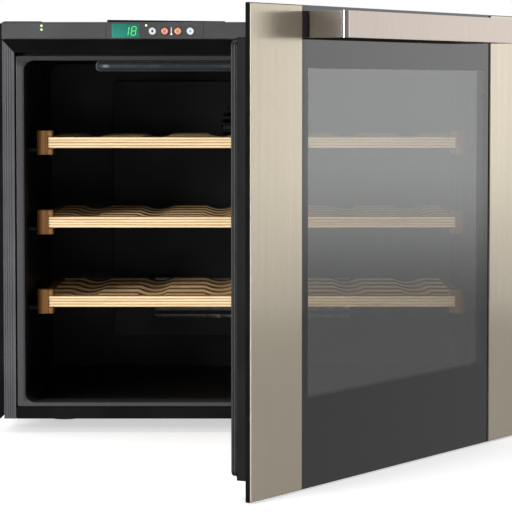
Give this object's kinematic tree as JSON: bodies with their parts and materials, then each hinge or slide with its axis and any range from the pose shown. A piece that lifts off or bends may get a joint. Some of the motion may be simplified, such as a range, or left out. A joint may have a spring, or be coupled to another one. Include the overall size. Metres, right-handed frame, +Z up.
{
  "type": "wine cooler",
  "caption": "Built-in wine cooler cabinet with hinged double-glazed door, steel-edged glass, bar handle, sliding beech shelves, control panel, fans and cooling unit.",
  "frame": {"origin": "middle of the base plate's underside, halfway along the cabinet's depth", "axes": "+Z up, -Y out of the front, +X to the right seen from the front; the door stands open at rest"},
  "size_m": [0.5941, 1.0503, 0.4562],
  "materials": {
    "shell_paint": "satin",
    "black_plastic": "satin",
    "foot_rubber": "matte",
    "galvanised_sheet": "satin",
    "liner_plastic": "satin",
    "foam": "matte",
    "surround_plastic": "satin",
    "trim_paint": "satin",
    "panel_plastic": "satin",
    "display_glass": "gloss",
    "circuit_board": "satin",
    "button_silver": "gloss",
    "button_red": "gloss",
    "button_white": "gloss",
    "indicator_lens": "gloss",
    "lamp_lens": "gloss",
    "bare_aluminium": "satin",
    "compressor_paint": "gloss",
    "pipe_copper": "satin",
    "grey_plastic": "satin",
    "hinge_steel": "satin",
    "door_glass": "gloss",
    "strip_steel": "satin",
    "spacer_aluminium": "satin",
    "gasket_rubber": "satin",
    "handle_steel": "satin",
    "bush_plastic": "satin",
    "beech": "satin",
    "beech_block": "satin"
  },
  "bodies": {
    "cabinet": {"outer_shell": "shell_paint", "base_plate": "black_plastic", "feet": "foot_rubber", "rear_panel": "galvanised_sheet", "inner_liner": "liner_plastic", "insulation_foam": "foam", "front_frame_left": "surround_plastic", "front_frame_right": "surround_plastic", "front_frame_top": "surround_plastic", "bottom_panel": "surround_plastic", "trim_flange_left": "trim_paint", "trim_flange_right": "trim_paint", "control_fascia": "panel_plastic", "top_trim": "panel_plastic", "display_window": "display_glass", "control_board": "circuit_board", "indicator_lights": "indicator_lens", "lamp_housing": "black_plastic", "lamp_lens": "lamp_lens", "led_strip": "circuit_board", "shelf_runners": "liner_plastic", "air_duct_cover": "liner_plastic", "circulation_fan_frame": "black_plastic", "evaporator_plate": "bare_aluminium", "compressor": "compressor_paint", "condenser_coil": "bare_aluminium", "condenser_fan_frame": "black_plastic", "refrigerant_pipes": "pipe_copper", "power_board_case": "grey_plastic", "power_inlet": "black_plastic", "machine_cover": "galvanised_sheet", "hinge_bracket_top": "hinge_steel", "hinge_bracket_bottom": "hinge_steel", "hinge_pins": "hinge_steel", "hinge_screws": "hinge_steel"},
    "door": {"door_outer_glass": "door_glass", "steel_strip_left": "strip_steel", "steel_strip_right": "strip_steel", "door_frame": "black_plastic", "door_spacer": "spacer_aluminium", "door_inner_glass": "door_glass", "door_gasket": "gasket_rubber", "door_handle": "handle_steel", "handle_screws": "hinge_steel", "hinge_bushes": "bush_plastic"},
    "power_button": {"button_power": "button_silver"},
    "up_button": {"button_up": "button_red"},
    "down_button": {"button_down": "button_red"},
    "light_button": {"button_light": "button_white"},
    "lower_shelf": {"shelf_lower_front_rail": "beech", "shelf_lower_end_blocks": "beech_block", "shelf_lower_slats": "beech"},
    "middle_shelf": {"shelf_middle_front_rail": "beech", "shelf_middle_end_blocks": "beech_block", "shelf_middle_slats": "beech"},
    "upper_shelf": {"shelf_upper_front_rail": "beech", "shelf_upper_end_blocks": "beech_block", "shelf_upper_slats": "beech"},
    "circulation_rotor": {"circulation_fan_rotor": "black_plastic"},
    "condenser_rotor": {"condenser_fan_rotor": "black_plastic"}
  },
  "joints": [
    {"name": "door_hinge", "type": "hinge", "parent": "cabinet", "child": "door", "pos_m": [0.2755, -0.282, 0], "axis": [0, 0, 1], "range_deg": [-59.5, 40.5]},
    {"name": "power_button_press", "type": "slide", "parent": "cabinet", "child": "power_button", "axis": [0, 1, 0], "range_m": [0, 0.001], "stiffness_N_per_m": 400, "springref_m": -0.0005},
    {"name": "up_button_press", "type": "slide", "parent": "cabinet", "child": "up_button", "axis": [0, 1, 0], "range_m": [0, 0.001], "stiffness_N_per_m": 400, "springref_m": -0.0005},
    {"name": "down_button_press", "type": "slide", "parent": "cabinet", "child": "down_button", "axis": [0, 1, 0], "range_m": [0, 0.001], "stiffness_N_per_m": 400, "springref_m": -0.0005},
    {"name": "light_button_press", "type": "slide", "parent": "cabinet", "child": "light_button", "axis": [0, 1, 0], "range_m": [0, 0.001], "stiffness_N_per_m": 400, "springref_m": -0.0005},
    {"name": "lower_shelf_slide", "type": "slide", "parent": "cabinet", "child": "lower_shelf", "axis": [0, -1, 0], "range_m": [0, 0.07]},
    {"name": "middle_shelf_slide", "type": "slide", "parent": "cabinet", "child": "middle_shelf", "axis": [0, -1, 0], "range_m": [0, 0.07]},
    {"name": "upper_shelf_slide", "type": "slide", "parent": "cabinet", "child": "upper_shelf", "axis": [0, -1, 0], "range_m": [0, 0.07]},
    {"name": "circulation_fan_spin", "type": "hinge", "parent": "cabinet", "child": "circulation_rotor", "pos_m": [0, 0.091, 0.316], "axis": [0, 1, 0], "continuous": true},
    {"name": "condenser_fan_spin", "type": "hinge", "parent": "cabinet", "child": "condenser_rotor", "pos_m": [-0.012, 0.209, 0.055], "axis": [1, 0, 0], "continuous": true}
  ]
}
